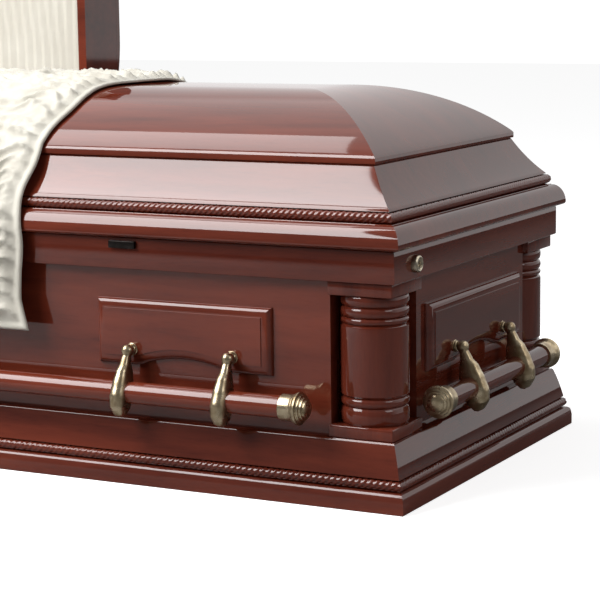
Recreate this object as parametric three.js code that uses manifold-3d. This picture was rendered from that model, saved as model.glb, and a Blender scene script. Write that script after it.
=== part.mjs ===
// A half-couch wooden funeral casket: moulded base, panelled box with corner columns, swing handles
// and two hinged lids. Millimetres, +Z up, +X towards the foot end, -Y the front, origin on the floor
// under the middle of the box. A moulding's profile is drawn in (inset from the base's outer plane, height).
import * as THREE from 'three';
import { mergeVertices } from 'three/addons/utils/BufferGeometryUtils.js';
import Module from 'manifold-3d';

const wasm = await Module();
wasm.setup();

// Driving dimensions of the whole casket
const HALF_LENGTH = 1054;
const HALF_WIDTH = 355.5;
const BASE_TOP = 102;
const RAIL_BOTTOM = 340;
const RAIL_TOP = 390;
const LID_BOTTOM = 391;
const FRAME_TOP = 511;
const CROWN_EDGE = 521;
const CROWN_TOP = 610;
const GAP = 0.3;

// Insets from the base's outer plane
const RAIL_INSET = 23;
const WALL_INSET = 40;
const INNER_INSET = 60;
const POST_INSET = 30;
const NOTCH_INSET = 137.3;
const CROWN_INSET = 80;
const CROWN_REACH = 222;

// Board thicknesses
const BOARD = 20;
const FLOOR_THICK = 18;
const CROWN_THICK = 12;
const LINING_THICK = 8;

// Lids: split at mid-length, hinged under the rim at the back rail
const SPLIT_GAP = 1.5;
const HEADER_THICK = 18;
const HEADER_BOTTOM = 484;
const HINGE_Y = HALF_WIDTH - RAIL_INSET + 4;
const HINGE_Z = LID_BOTTOM - 4;
const HEAD_LID_OPEN = -Math.PI / 2;

// Rope beads, half-round in the solids
const ROPE_RADIUS = 8.2;
const BASE_ROPE = { inset: 15, height: 40.5 };
const LID_ROPE = { inset: 38, height: 437.2 };

// Corner columns
const COLUMN_CENTRE = 84;
const COLUMN_RADIUS = 52.5;
const GROOVE_DEPTH = 4.5;
const LOWER_BLOCK_TOP = 121;
const UPPER_BLOCK_BOTTOM = 319;

// Raised panels
const PANEL_BOTTOM = 186;
const PANEL_TOP = 292;
const PANEL_THICK = 12;
const PANEL_EDGE = 9;
const ARCH_RISE = 15;
const LONG_PANEL = { width: 305, arms: 181, chord: 160 };
const END_PANEL = { width: 375, arms: 196, chord: 172 };
const PANEL_SPACING = 662;

// Swing handles
const KNUCKLE = { inset: 15, height: 212, radius: 10 };
const BAR = { inset: 0, height: 148.5, radius: 17.5 };
const ARM_TIP = { inset: -11, height: 113 };
const LONG_BAR_HALF = 857;
const END_BAR_HALF = 199;
const EAR_RADIUS = 10.5;
const EAR_CUP_RADIUS = 11.2;

const MAHOGANY = new THREE.MeshStandardMaterial({ color: 0x5a1e14, roughness: 0.18, metalness: 0 });
const BRASS = new THREE.MeshStandardMaterial({ color: 0x9b8257, roughness: 0.35, metalness: 1 });
const CREAM_CLOTH = new THREE.MeshStandardMaterial({ color: 0xece7d8, roughness: 0.9, metalness: 0 });
const DARK_METAL = new THREE.MeshStandardMaterial({ color: 0x2a2320, roughness: 0.5, metalness: 0.6 });

const casket = new THREE.Group();

function addPiece(name, geometry, material, parent = casket) {
  const mesh = new THREE.Mesh(geometry, material);
  mesh.name = name;
  parent.add(mesh);
  return mesh;
}

// Booleans
function toSolid(geometry) {
  const bare = geometry.clone();
  bare.deleteAttribute('normal');
  bare.deleteAttribute('uv');
  const merged = mergeVertices(bare, 1e-3);
  return new wasm.Manifold(new wasm.Mesh({
    numProp: 3,
    vertProperties: new Float32Array(merged.attributes.position.array),
    triVerts: new Uint32Array(merged.index.array),
  }));
}

function toGeometry(solid) {
  const mesh = solid.getMesh();
  const geometry = new THREE.BufferGeometry();
  geometry.setAttribute('position', new THREE.BufferAttribute(new Float32Array(mesh.vertProperties), 3));
  geometry.setIndex(new THREE.BufferAttribute(new Uint32Array(mesh.triVerts), 1));
  geometry.computeVertexNormals();
  return geometry;
}

function join(geometries) {
  const solids = geometries.map(toSolid);
  return toGeometry(solids.reduce((whole, next) => whole.add(next)));
}

function cut(geometry, tool) {
  return toGeometry(toSolid(geometry).subtract(toSolid(tool)));
}

// Outlines and sweeps
function shapeOf(points) {
  return new THREE.Shape(points.map(([x, y]) => new THREE.Vector2(x, y)));
}

function boxBetween(low, high) {
  const size = high.map((value, axis) => value - low[axis]);
  const centre = high.map((value, axis) => (value + low[axis]) / 2);
  return new THREE.BoxGeometry(...size).translate(...centre);
}

// Carries a profile of (inset, height) points through stations, each a function from inset to plan [x, y].
function sweep(profile, stations) {
  const spans = stations.length - 1;
  const geometry = new THREE.ExtrudeGeometry(shapeOf(profile), {
    depth: spans, steps: spans, bevelEnabled: false,
  });
  const position = geometry.attributes.position;
  for (let i = 0; i < position.count; i += 1) {
    const inset = position.getX(i);
    const height = position.getY(i);
    const station = stations[Math.round(position.getZ(i))];
    const [x, y] = station(inset);
    position.setXYZ(i, x, y, height);
  }
  return geometry;
}

// One straight stick along the front of a box of those half sizes, mitred at both ends.
function mitredStick(profile, halfRun, halfAcross) {
  const reach = (inset) => halfRun - inset - GAP / 2;
  return sweep(profile, [
    (inset) => [-reach(inset), inset - halfAcross],
    (inset) => [reach(inset), inset - halfAcross],
  ]);
}

// Around three sides of the foot lid, from the split at the front to the split at the back.
function lidSweep(profile, start) {
  return sweep(profile, [
    (inset) => [start, inset - HALF_WIDTH],
    (inset) => [HALF_LENGTH - inset, inset - HALF_WIDTH],
    (inset) => [HALF_LENGTH - inset, HALF_WIDTH - inset],
    (inset) => [start, HALF_WIDTH - inset],
  ]);
}

function arcPoints(centre, radii, fromDeg, toDeg, steps) {
  return Array.from({ length: steps + 1 }, (_, i) => {
    const angle = THREE.MathUtils.degToRad(fromDeg + ((toDeg - fromDeg) * i) / steps);
    return [centre[0] + radii[0] * Math.cos(angle), centre[1] + radii[1] * Math.sin(angle)];
  });
}

function bezierPoints(start, control, end, steps) {
  const curve = new THREE.QuadraticBezierCurve(
    new THREE.Vector2(...start), new THREE.Vector2(...control), new THREE.Vector2(...end),
  );
  return curve.getPoints(steps).map((point) => [point.x, point.y]);
}

function ropeBead(rope) {
  return arcPoints([rope.inset, rope.height], [ROPE_RADIUS, ROPE_RADIUS], 255, 105, 4);
}

// The four sides: where each faces, and the half sizes along and across it
const SIDES = [
  { name: 'front', turn: 0, run: HALF_LENGTH, across: HALF_WIDTH },
  { name: 'foot', turn: Math.PI / 2, run: HALF_WIDTH, across: HALF_LENGTH },
  { name: 'back', turn: Math.PI, run: HALF_LENGTH, across: HALF_WIDTH },
  { name: 'head', turn: -Math.PI / 2, run: HALF_WIDTH, across: HALF_LENGTH },
];

// Base: floor board and mitred mouldings with plinth, rope bead and rounded skirt
const baseProfile = [
  [0, 0], [0, 18], [1.5, 26], [5, 31],
  ...ropeBead(BASE_ROPE),
  ...bezierPoints([11.5, 50.5], [13.5, 78], [25.5, 99.5], 4),
  [30, BASE_TOP], [INNER_INSET, BASE_TOP], [INNER_INSET, 0],
].reverse();

addPiece('floor_board', boxBetween(
  [INNER_INSET + GAP - HALF_LENGTH, INNER_INSET + GAP - HALF_WIDTH, 0],
  [HALF_LENGTH - INNER_INSET - GAP, HALF_WIDTH - INNER_INSET - GAP, FLOOR_THICK],
), MAHOGANY);

// Box: walls between the corner recesses, and top rails
const railProfile = [
  [RAIL_INSET, RAIL_BOTTOM + 2], [RAIL_INSET, RAIL_TOP - 3], [RAIL_INSET + 2.5, RAIL_TOP],
  [INNER_INSET, RAIL_TOP], [INNER_INSET, RAIL_BOTTOM], [RAIL_INSET + 2, RAIL_BOTTOM],
].reverse();

for (const side of SIDES) {
  const base = addPiece(`base_moulding_${side.name}`, mitredStick(baseProfile, side.run, side.across), MAHOGANY);
  const wall = addPiece(`wall_${side.name}`, boxBetween(
    [NOTCH_INSET - side.run, WALL_INSET - side.across, BASE_TOP + GAP],
    [side.run - NOTCH_INSET, INNER_INSET - side.across, RAIL_BOTTOM - GAP],
  ), MAHOGANY);
  const rail = addPiece(`top_rail_${side.name}`, mitredStick(railProfile, side.run, side.across), MAHOGANY);
  for (const piece of [base, wall, rail]) {
    piece.rotation.z = side.turn;
  }
}

// Corners: L-shaped recess boards and turned posts between square blocks, drawn for the front foot corner
function recessBoard() {
  const inner = NOTCH_INSET + GAP;
  const deep = inner + BOARD;
  const edge = INNER_INSET + GAP;
  const plan = [[inner, edge], [deep, edge], [deep, deep], [edge, deep], [edge, inner], [inner, inner]];
  const corner = plan.map(([fromEnd, fromFront]) => [HALF_LENGTH - fromEnd, fromFront - HALF_WIDTH]);
  return new THREE.ExtrudeGeometry(shapeOf(corner), {
    depth: RAIL_BOTTOM - BASE_TOP - 2 * GAP, bevelEnabled: false,
  }).translate(0, 0, BASE_TOP + GAP);
}

// Turnings from the lower block up: [top height, is a bead]; what is not a bead is plain shaft.
const TURNINGS = [[149, true], [163, true], [275, false], [285, true], [301, true], [320, true]];

function turnedColumn() {
  const profile = [[0, LOWER_BLOCK_TOP - 1]];
  let bottom = LOWER_BLOCK_TOP - 1;
  for (const [top, isBead] of TURNINGS) {
    const ease = isBead ? (top - bottom) / 3.3 : GROOVE_DEPTH;
    profile.push([COLUMN_RADIUS - GROOVE_DEPTH, bottom]);
    profile.push([COLUMN_RADIUS, bottom + ease]);
    profile.push([COLUMN_RADIUS, top - ease]);
    bottom = top;
  }
  profile.push([COLUMN_RADIUS - GROOVE_DEPTH, bottom]);
  profile.push([0, bottom]);
  const points = profile.map(([radius, height]) => new THREE.Vector2(radius, height));
  return new THREE.LatheGeometry(points, 12)
    .rotateX(Math.PI / 2)
    .translate(HALF_LENGTH - COLUMN_CENTRE, COLUMN_CENTRE - HALF_WIDTH, 0);
}

function cornerPost() {
  const near = [HALF_LENGTH - NOTCH_INSET + GAP, POST_INSET - HALF_WIDTH];
  const far = [HALF_LENGTH - POST_INSET, NOTCH_INSET - GAP - HALF_WIDTH];
  return join([
    turnedColumn(),
    boxBetween([...near, BASE_TOP + GAP], [...far, LOWER_BLOCK_TOP]),
    boxBetween([...near, UPPER_BLOCK_BOTTOM], [...far, RAIL_BOTTOM - GAP]),
  ]);
}

const CORNERS = [
  { name: 'front_foot', mirror: [1, 1] },
  { name: 'back_foot', mirror: [1, -1] },
  { name: 'back_head', mirror: [-1, -1] },
  { name: 'front_head', mirror: [-1, 1] },
];

// Mirrors a piece of the front foot corner in plan, keeping its faces pointing out.
function mirrored(geometry, [alongX, alongY]) {
  const copy = geometry.index ? geometry.toNonIndexed() : geometry.clone();
  copy.scale(alongX, alongY, 1);
  if (alongX * alongY < 0) {
    const position = copy.attributes.position;
    for (let i = 0; i < position.count; i += 3) {
      const second = new THREE.Vector3().fromBufferAttribute(position, i + 1);
      const third = new THREE.Vector3().fromBufferAttribute(position, i + 2);
      position.setXYZ(i + 1, third.x, third.y, third.z);
      position.setXYZ(i + 2, second.x, second.y, second.z);
    }
  }
  return copy;
}

const recess = recessBoard();
const post = cornerPost();
for (const corner of CORNERS) {
  addPiece(`corner_recess_${corner.name}`, mirrored(recess, corner.mirror), MAHOGANY);
  addPiece(`corner_post_${corner.name}`, mirrored(post, corner.mirror), MAHOGANY);
}

// Raised panels: moulded edge all round, arched along the bottom, drawn flat in (x, z) and stood up
function raisedPanel({ width, chord }) {
  const half = width / 2;
  const radius = (chord * chord / 4 + ARCH_RISE * ARCH_RISE) / (2 * ARCH_RISE);
  const spread = Math.asin(chord / 2 / radius);
  const outline = new THREE.Shape();
  outline.moveTo(-half, PANEL_BOTTOM);
  outline.lineTo(-chord / 2, PANEL_BOTTOM);
  outline.absarc(0, PANEL_BOTTOM + ARCH_RISE - radius, radius, Math.PI / 2 + spread, Math.PI / 2 - spread, true);
  outline.lineTo(half, PANEL_BOTTOM);
  outline.lineTo(half, PANEL_TOP);
  outline.lineTo(-half, PANEL_TOP);
  const edgeDepth = PANEL_THICK - GAP;
  const board = new THREE.ExtrudeGeometry(outline, {
    depth: 1,
    curveSegments: 5,
    bevelThickness: edgeDepth - 1,
    bevelSize: PANEL_EDGE,
    bevelOffset: -PANEL_EDGE,
    bevelSegments: 2,
  });
  const back = boxBetween([-width, 0, -PANEL_THICK * 2], [width, PANEL_TOP * 2, 0]);
  return cut(board, back).rotateX(Math.PI / 2).translate(0, -GAP, 0);
}

// A handle's ear: a small cup on the panel's face that holds the back of the arm's knuckle
function handleEar() {
  const face = WALL_INSET - PANEL_THICK - GAP;
  const rim = 9;
  const cupAt = (radius) => KNUCKLE.inset + Math.sqrt(EAR_CUP_RADIUS ** 2 - radius ** 2);
  const profile = [
    [0, face], [EAR_RADIUS, face], [rim, cupAt(rim)], [rim / 2, cupAt(rim / 2)], [0, cupAt(0)],
  ];
  const points = profile.map(([radius, inset]) => new THREE.Vector2(radius, -inset));
  return new THREE.LatheGeometry(points, 8).rotateX(Math.PI);
}

// A cast arm, widest and deepest where the bar passes through, with a ridge down its front.
// Each row: [share of the way from knuckle to tip, half width, depth in front, depth behind]
const ARM_SECTIONS = [
  [0, 3.5, 5, 5],
  [0.2, 4.8, 7.5, 7],
  [0.52, 9.5, 18, 20],
  [0.72, 10.4, 20.5, 20],
  [0.88, 8, 14, 10],
  [1, 4, 4, 3],
];

function handleArm() {
  const fall = new THREE.Vector2(ARM_TIP.inset - KNUCKLE.inset, ARM_TIP.height - KNUCKLE.height);
  const along = fall.clone().normalize();
  const front = new THREE.Vector2(along.y, -along.x);
  const outline = [[0, 1], [-1, 0.35], [-0.8, -1], [0.8, -1], [1, 0.35]];
  const spans = ARM_SECTIONS.length - 1;
  const blank = new THREE.ExtrudeGeometry(shapeOf(outline), { depth: spans, steps: spans, bevelEnabled: false });
  const position = blank.attributes.position;
  for (let i = 0; i < position.count; i += 1) {
    const [share, halfWidth, ahead, behind] = ARM_SECTIONS[Math.round(position.getZ(i))];
    const side = position.getX(i) * halfWidth;
    const depth = position.getY(i) * (position.getY(i) > 0 ? ahead : behind);
    const inset = KNUCKLE.inset + fall.x * share + front.x * depth;
    const height = KNUCKLE.height + fall.y * share + front.y * depth;
    position.setXYZ(i, side, inset, height);
  }
  const knuckle = new THREE.SphereGeometry(KNUCKLE.radius, 8, 4)
    .rotateZ(Math.PI / 2)
    .translate(0, KNUCKLE.inset, KNUCKLE.height);
  return join([blank, knuckle]);
}

// Half profile of a bar's end tip: [radius, distance past the bar's end]
const TIP_PROFILE = [
  [0, -2], [20.5, -2], [20.5, 16], [25.5, 24], [25.5, 28], [21.5, 30], [21.5, 34], [16, 42], [0, 50],
];

function barTip(barHalf) {
  const points = TIP_PROFILE.map(([radius, past]) => new THREE.Vector2(radius, past + barHalf));
  return new THREE.LatheGeometry(points, 10).rotateZ(-Math.PI / 2).translate(0, BAR.inset, BAR.height);
}

// A whole swing handle on a side: bar, tips and arms turn together about the knuckles.
function swingHandle(barHalf, armPlaces) {
  const bar = new THREE.CylinderGeometry(BAR.radius, BAR.radius, 2 * barHalf, 8)
    .rotateZ(Math.PI / 2)
    .translate(0, BAR.inset, BAR.height);
  const tip = barTip(barHalf);
  const arm = handleArm();
  return join([
    bar,
    tip,
    tip.clone().rotateZ(Math.PI).translate(0, 2 * BAR.inset, 0),
    ...armPlaces.map((place) => arm.clone().translate(place, 0, 0)),
  ]);
}

for (const side of SIDES) {
  const isLong = side.run === HALF_LENGTH;
  const kind = isLong ? LONG_PANEL : END_PANEL;
  const centres = isLong ? [-PANEL_SPACING, 0, PANEL_SPACING] : [0];
  const armPlaces = centres.flatMap((centre) => [centre - kind.arms / 2, centre + kind.arms / 2]);
  const hardware = new THREE.Group();
  hardware.rotation.z = side.turn;
  casket.add(hardware);
  const panel = raisedPanel(kind);
  centres.forEach((centre, i) => {
    const piece = addPiece(`raised_panel_${side.name}_${i + 1}`, panel.clone(), MAHOGANY, hardware);
    piece.position.set(centre, WALL_INSET - side.across, 0);
  });
  const ear = handleEar();
  armPlaces.forEach((place, i) => {
    const piece = addPiece(`handle_ear_${side.name}_${i + 1}`, ear.clone(), BRASS, hardware);
    piece.position.set(place, -side.across, KNUCKLE.height);
  });
  const barHalf = isLong ? LONG_BAR_HALF : END_BAR_HALF;
  const handle = addPiece(`swing_handle_${side.name}`, swingHandle(barHalf, armPlaces), BRASS, hardware);
  handle.position.y = -side.across;
}

// Key cap on the foot rail, and the small catch under the front rim
const KEY_CAP = { fromFront: 95, height: 364, radius: 13.5, proud: 10 };
const keyProfile = [
  [0, 0], [KEY_CAP.radius, 0], [KEY_CAP.radius, KEY_CAP.proud - 2.5], [KEY_CAP.radius - 2.5, KEY_CAP.proud],
  [0, KEY_CAP.proud],
].map(([radius, proud]) => new THREE.Vector2(radius, proud));
addPiece('key_cap', new THREE.LatheGeometry(keyProfile, 12).rotateZ(-Math.PI / 2).translate(
  HALF_LENGTH - RAIL_INSET + GAP, KEY_CAP.fromFront - HALF_WIDTH, KEY_CAP.height,
), BRASS);

const CATCH = { left: 539, right: 587, top: 385, bottom: 373, block: 22, bar: 4, proud: 6 };
const catchOutline = [
  [CATCH.left, CATCH.top - CATCH.bar], [CATCH.right - CATCH.block, CATCH.top - CATCH.bar],
  [CATCH.right - CATCH.block, CATCH.bottom], [CATCH.right, CATCH.bottom],
  [CATCH.right, CATCH.top], [CATCH.left, CATCH.top],
];
addPiece('lid_catch', new THREE.ExtrudeGeometry(shapeOf(catchOutline), { depth: CATCH.proud, bevelEnabled: false })
  .rotateX(Math.PI / 2)
  .translate(0, RAIL_INSET - GAP - HALF_WIDTH, 0), DARK_METAL);

// Box lining: a thin cloth-covered tray that follows the walls and the corner recesses
function liningPlan(inset) {
  const x = HALF_LENGTH - INNER_INSET - inset;
  const y = HALF_WIDTH - INNER_INSET - inset;
  const notch = NOTCH_INSET + GAP + BOARD - INNER_INSET;
  return shapeOf([
    [-x + notch, -y], [x - notch, -y], [x - notch, -y + notch], [x, -y + notch],
    [x, y - notch], [x - notch, y - notch], [x - notch, y], [-x + notch, y],
    [-x + notch, y - notch], [-x, y - notch], [-x, -y + notch], [-x + notch, -y + notch],
  ]);
}

const liningFloor = FLOOR_THICK + GAP;
const liningTop = RAIL_TOP - 4;
const liningBlock = new THREE.ExtrudeGeometry(liningPlan(2 * GAP), {
  depth: liningTop - liningFloor, bevelEnabled: false,
}).translate(0, 0, liningFloor);
const liningHollow = new THREE.ExtrudeGeometry(liningPlan(2 * GAP + LINING_THICK), {
  depth: liningTop, bevelEnabled: false,
}).translate(0, 0, liningFloor + LINING_THICK);
addPiece('box_lining', cut(liningBlock, liningHollow), CREAM_CLOTH);

// Lids: moulding frame with ovolo rim, rope bead and cove, under a crown vaulted from three sides
const COVE_TOP_INSET = 83;
const FRAME_WIDTH = 22;
const frameProfile = [
  [17, LID_BOTTOM], [10, LID_BOTTOM + 4],
  ...arcPoints([30, LID_BOTTOM + 4], [20, 32.5], 168, 90, 4),
  ...ropeBead(LID_ROPE),
  ...bezierPoints([LID_ROPE.inset, 446], [72, 470], [COVE_TOP_INSET, FRAME_TOP], 5),
  [COVE_TOP_INSET + FRAME_WIDTH, FRAME_TOP], [60, 448], [58, 440], [58, LID_BOTTOM],
].reverse();

const CROWN_RISE = CROWN_TOP - CROWN_EDGE;
const CROWN_RADIUS = (CROWN_REACH ** 2 + CROWN_RISE ** 2) / (2 * CROWN_RISE);
const CROWN_FLAT = CROWN_INSET + CROWN_REACH;

// Height of a circle about the crown's centre, at an inset from the base's outer plane.
function vaultHeight(inset, radius) {
  return CROWN_TOP - CROWN_RADIUS + Math.sqrt(radius ** 2 - (CROWN_FLAT - inset) ** 2);
}

function vaultPoints(fromInset, radius, steps) {
  return Array.from({ length: steps + 1 }, (_, i) => {
    const inset = fromInset + ((CROWN_FLAT - fromInset) * i) / steps;
    return [inset, vaultHeight(inset, radius)];
  });
}

const VAULT_STEPS = 7;
const CROWN_FOOT = CROWN_INSET + 20;
const CROWN_LAP = CROWN_FLAT + 8;
const crownProfile = [
  [CROWN_INSET, FRAME_TOP + GAP],
  ...vaultPoints(CROWN_INSET, CROWN_RADIUS, VAULT_STEPS),
  [CROWN_LAP, CROWN_TOP],
  [CROWN_LAP, CROWN_TOP - CROWN_THICK],
  ...vaultPoints(CROWN_FOOT, CROWN_RADIUS - CROWN_THICK, VAULT_STEPS).reverse(),
  [CROWN_FOOT, FRAME_TOP + GAP],
].reverse();

function crown() {
  const flatEdge = CROWN_LAP - 4;
  const flat = boxBetween(
    [SPLIT_GAP, flatEdge - HALF_WIDTH, CROWN_TOP - CROWN_THICK],
    [HALF_LENGTH - flatEdge, HALF_WIDTH - flatEdge, CROWN_TOP],
  );
  const headerInset = COVE_TOP_INSET + FRAME_WIDTH + 2;
  const halfHeader = [
    [headerInset, HEADER_BOTTOM],
    ...vaultPoints(headerInset, CROWN_RADIUS - CROWN_THICK / 2, VAULT_STEPS),
  ];
  const front = halfHeader.map(([inset, height]) => [inset - HALF_WIDTH, height]);
  const back = halfHeader.map(([inset, height]) => [HALF_WIDTH - inset, height]).reverse();
  const header = new THREE.ExtrudeGeometry(shapeOf([...front, ...back]), {
    depth: HEADER_THICK, bevelEnabled: false,
  });
  header.rotateX(Math.PI / 2).rotateZ(Math.PI / 2).translate(SPLIT_GAP, 0, 0);
  return join([lidSweep(crownProfile, SPLIT_GAP), flat, header]);
}

// Lid lining: cloth-covered sides and ceiling inside the moulding frame
function lidLining() {
  const start = SPLIT_GAP + HEADER_THICK + 2;
  const ceiling = FRAME_TOP - 14;
  const sideProfile = [
    [60, LID_BOTTOM + 3], [60, 444], [62, 446.5], [104, ceiling + LINING_THICK],
    [118, ceiling + LINING_THICK], [118, ceiling], [110, ceiling], [71, 443], [71, LID_BOTTOM + 3],
  ].reverse();
  const panel = boxBetween(
    [start, 114 - HALF_WIDTH, ceiling],
    [HALF_LENGTH - 114, HALF_WIDTH - 114, ceiling + LINING_THICK],
  );
  return join([lidSweep(sideProfile, start), panel]);
}

addPiece('foot_lid_frame', lidSweep(frameProfile, SPLIT_GAP), MAHOGANY);
addPiece('foot_lid_crown', crown(), MAHOGANY);

const headLidPivot = new THREE.Group();
headLidPivot.position.set(0, HINGE_Y, HINGE_Z);
headLidPivot.rotation.x = HEAD_LID_OPEN;
casket.add(headLidPivot);
const headLid = new THREE.Group();
headLid.position.set(0, -HINGE_Y, -HINGE_Z);
headLid.rotation.z = Math.PI;
headLidPivot.add(headLid);
addPiece('head_lid_frame', lidSweep(frameProfile, SPLIT_GAP), MAHOGANY, headLid);
addPiece('head_lid_crown', crown(), MAHOGANY, headLid);
addPiece('head_lid_lining', lidLining(), CREAM_CLOTH, headLid);

// Hinges: a long leaf on the back rail's face with its barrel under the lid's rim
const HINGE = { barrel: 3, leaf: 1.5, drop: 24, fromSplit: 30, fromEnd: 120 };
for (const [name, direction] of [['foot', 1], ['head', -1]]) {
  const length = HALF_LENGTH - HINGE.fromSplit - HINGE.fromEnd;
  const middle = direction * (HINGE.fromSplit + length / 2);
  const barrel = new THREE.CylinderGeometry(HINGE.barrel, HINGE.barrel, length, 10)
    .rotateZ(Math.PI / 2)
    .translate(middle, HINGE_Y, HINGE_Z);
  const leafFace = HALF_WIDTH - RAIL_INSET + GAP;
  const leaf = boxBetween(
    [middle - length / 2, leafFace, HINGE_Z - HINGE.drop],
    [middle + length / 2, leafFace + HINGE.leaf, HINGE_Z],
  );
  addPiece(`${name}_lid_hinge`, join([barrel, leaf]), BRASS);
}

// Cloth throw over the foot lid beside the split, hanging down the front
const THROW = { start: 3, width: 398, bottom: 240, off: 3, thick: 7 };

function throwCloth() {
  const layer = (away) => [
    [9 - away, THROW.bottom], [9 - away, LID_BOTTOM + 12],
    ...vaultPoints(CROWN_INSET - away * 0.7, CROWN_RADIUS + away, VAULT_STEPS),
  ];
  const inner = layer(THROW.off);
  const outer = layer(THROW.off + THROW.thick);
  const backOf = (points) => points.slice(2).reverse().map(([inset, height]) => [2 * HALF_WIDTH - inset, height]);
  const section = [...outer, ...backOf(outer), ...[...inner, ...backOf(inner)].reverse()];
  return new THREE.ExtrudeGeometry(shapeOf(section.map(([inset, height]) => [inset - HALF_WIDTH, height])), {
    depth: THROW.width, bevelEnabled: false,
  }).rotateX(Math.PI / 2).rotateZ(Math.PI / 2).translate(THROW.start, 0, 0);
}

addPiece('lid_throw', throwCloth(), CREAM_CLOTH);

export default casket;
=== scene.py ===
import math

import bmesh
import bpy
from mathutils import Matrix, Vector, noise


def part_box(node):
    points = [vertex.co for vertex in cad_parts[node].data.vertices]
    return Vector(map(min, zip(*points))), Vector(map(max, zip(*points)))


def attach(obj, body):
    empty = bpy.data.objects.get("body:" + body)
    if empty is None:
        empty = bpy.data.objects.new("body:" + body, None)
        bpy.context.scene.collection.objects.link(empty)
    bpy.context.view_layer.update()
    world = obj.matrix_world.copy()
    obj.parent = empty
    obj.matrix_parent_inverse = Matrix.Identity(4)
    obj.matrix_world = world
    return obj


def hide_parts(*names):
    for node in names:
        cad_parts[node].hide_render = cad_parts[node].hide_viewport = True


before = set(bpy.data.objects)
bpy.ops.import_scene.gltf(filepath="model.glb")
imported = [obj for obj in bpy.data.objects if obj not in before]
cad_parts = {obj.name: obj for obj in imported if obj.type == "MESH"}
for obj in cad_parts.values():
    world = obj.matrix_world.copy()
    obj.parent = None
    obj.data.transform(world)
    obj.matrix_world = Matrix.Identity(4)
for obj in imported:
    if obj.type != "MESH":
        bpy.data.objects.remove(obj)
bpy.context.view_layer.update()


# The photographer's view: a long lens at about chest height, off the front foot corner.
# The angles are the ones at which the base, the rim and the crown fall on their places in the picture.
VIEW_PLACE = Vector((2.3161, -3.0741, 0.7937))
VIEW_YAW, VIEW_PITCH, VIEW_ROLL = 0.484, 0.155, -0.013
VIEW_LENS_MM = 125.3

ahead = Vector((
    -math.sin(VIEW_YAW) * math.cos(VIEW_PITCH),
    math.cos(VIEW_YAW) * math.cos(VIEW_PITCH),
    -math.sin(VIEW_PITCH),
))
level_right = Vector((math.cos(VIEW_YAW), math.sin(VIEW_YAW), 0))
level_up = level_right.cross(ahead)
view_right = level_right * math.cos(VIEW_ROLL) + level_up * math.sin(VIEW_ROLL)
view_up = level_up * math.cos(VIEW_ROLL) - level_right * math.sin(VIEW_ROLL)

camera_data = bpy.data.cameras.new("studio_camera")
camera_data.lens = VIEW_LENS_MM
camera_data.sensor_width = 36
camera = bpy.data.objects.new("studio_camera", camera_data)
view_turn = Matrix((view_right, view_up, -ahead)).transposed().to_4x4()
camera.matrix_world = Matrix.Translation(VIEW_PLACE) @ view_turn
bpy.context.scene.collection.objects.link(camera)
bpy.context.scene.camera = camera
bpy.context.scene.view_settings.view_transform = "Standard"


# The studio: a white sweep of floor and a white backdrop, which the lacquer mirrors up to the backdrop's
# top edge. A tall softbox at the front left lights the cove, and a weaker one hangs over the lid.
FLOOR_HALF_SIZE = 14
FLOOR_SEEN, FLOOR_GLOW, FLOOR_MIRRORED = 0.80, 0.74, 0.34
BACKDROP_SEEN, BACKDROP_MIRRORED, CEILING_MIRRORED, ROOM_FILL = 1.05, 1.00, 1.50, 0.25
DARK_FRONT, DARK_FRONT_EDGE = 0.20, 0.25
BACKDROP_TOP_LOW, BACKDROP_TOP_HIGH = 0.50, 0.58


def add_node(tree, kind, **settings):
    """A shader node of one kind with its plain settings."""
    made_node = tree.nodes.new(kind)
    for key, value in settings.items():
        setattr(made_node, key, value)
    return made_node


def plain_material(name):
    """A new node material, its Principled BSDF and its tree."""
    material = bpy.data.materials.new(name)
    material.use_nodes = True
    return material, material.node_tree.nodes["Principled BSDF"], material.node_tree


def softbox(name, place, aim, size, power):
    """A rectangular area light at a place, turned to its aim."""
    light = bpy.data.lights.new(name, "AREA")
    light.shape = "RECTANGLE"
    light.size, light.size_y = size
    light.energy = power
    lamp = bpy.data.objects.new(name, light)
    turn = (Vector(aim) - Vector(place)).to_track_quat("-Z", "Y")
    lamp.matrix_world = Matrix.Translation(place) @ turn.to_matrix().to_4x4()
    bpy.context.scene.collection.objects.link(lamp)


floor_material, floor_shader, floor_tree = plain_material("studio_floor")
floor_ray = add_node(floor_tree, "ShaderNodeLightPath")
floor_paint = add_node(floor_tree, "ShaderNodeMix", data_type="RGBA")
floor_paint.inputs["A"].default_value = (FLOOR_MIRRORED,) * 3 + (1,)
floor_paint.inputs["B"].default_value = (FLOOR_SEEN,) * 3 + (1,)
floor_tree.links.new(floor_ray.outputs["Is Camera Ray"], floor_paint.inputs["Factor"])
floor_tree.links.new(floor_paint.outputs["Result"], floor_shader.inputs["Base Color"])
floor_shader.inputs["Roughness"].default_value = 0.9
floor_shader.inputs["Emission Color"].default_value = (1, 1, 1, 1)
floor_glow = add_node(floor_tree, "ShaderNodeMath", operation="MULTIPLY")
floor_glow.inputs[1].default_value = FLOOR_GLOW
floor_tree.links.new(floor_ray.outputs["Is Camera Ray"], floor_glow.inputs[0])
floor_tree.links.new(floor_glow.outputs[0], floor_shader.inputs["Emission Strength"])
floor_shader.inputs["Specular IOR Level"].default_value = 0.0
floor_mesh = bpy.data.meshes.new("studio_floor")
floor_bm = bmesh.new()
bmesh.ops.create_grid(floor_bm, x_segments=4, y_segments=4, size=FLOOR_HALF_SIZE)
floor_bm.to_mesh(floor_mesh)
floor_bm.free()
floor_mesh.materials.append(floor_material)
studio_floor = bpy.data.objects.new("studio_floor", floor_mesh)
bpy.context.scene.collection.objects.link(studio_floor)

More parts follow.
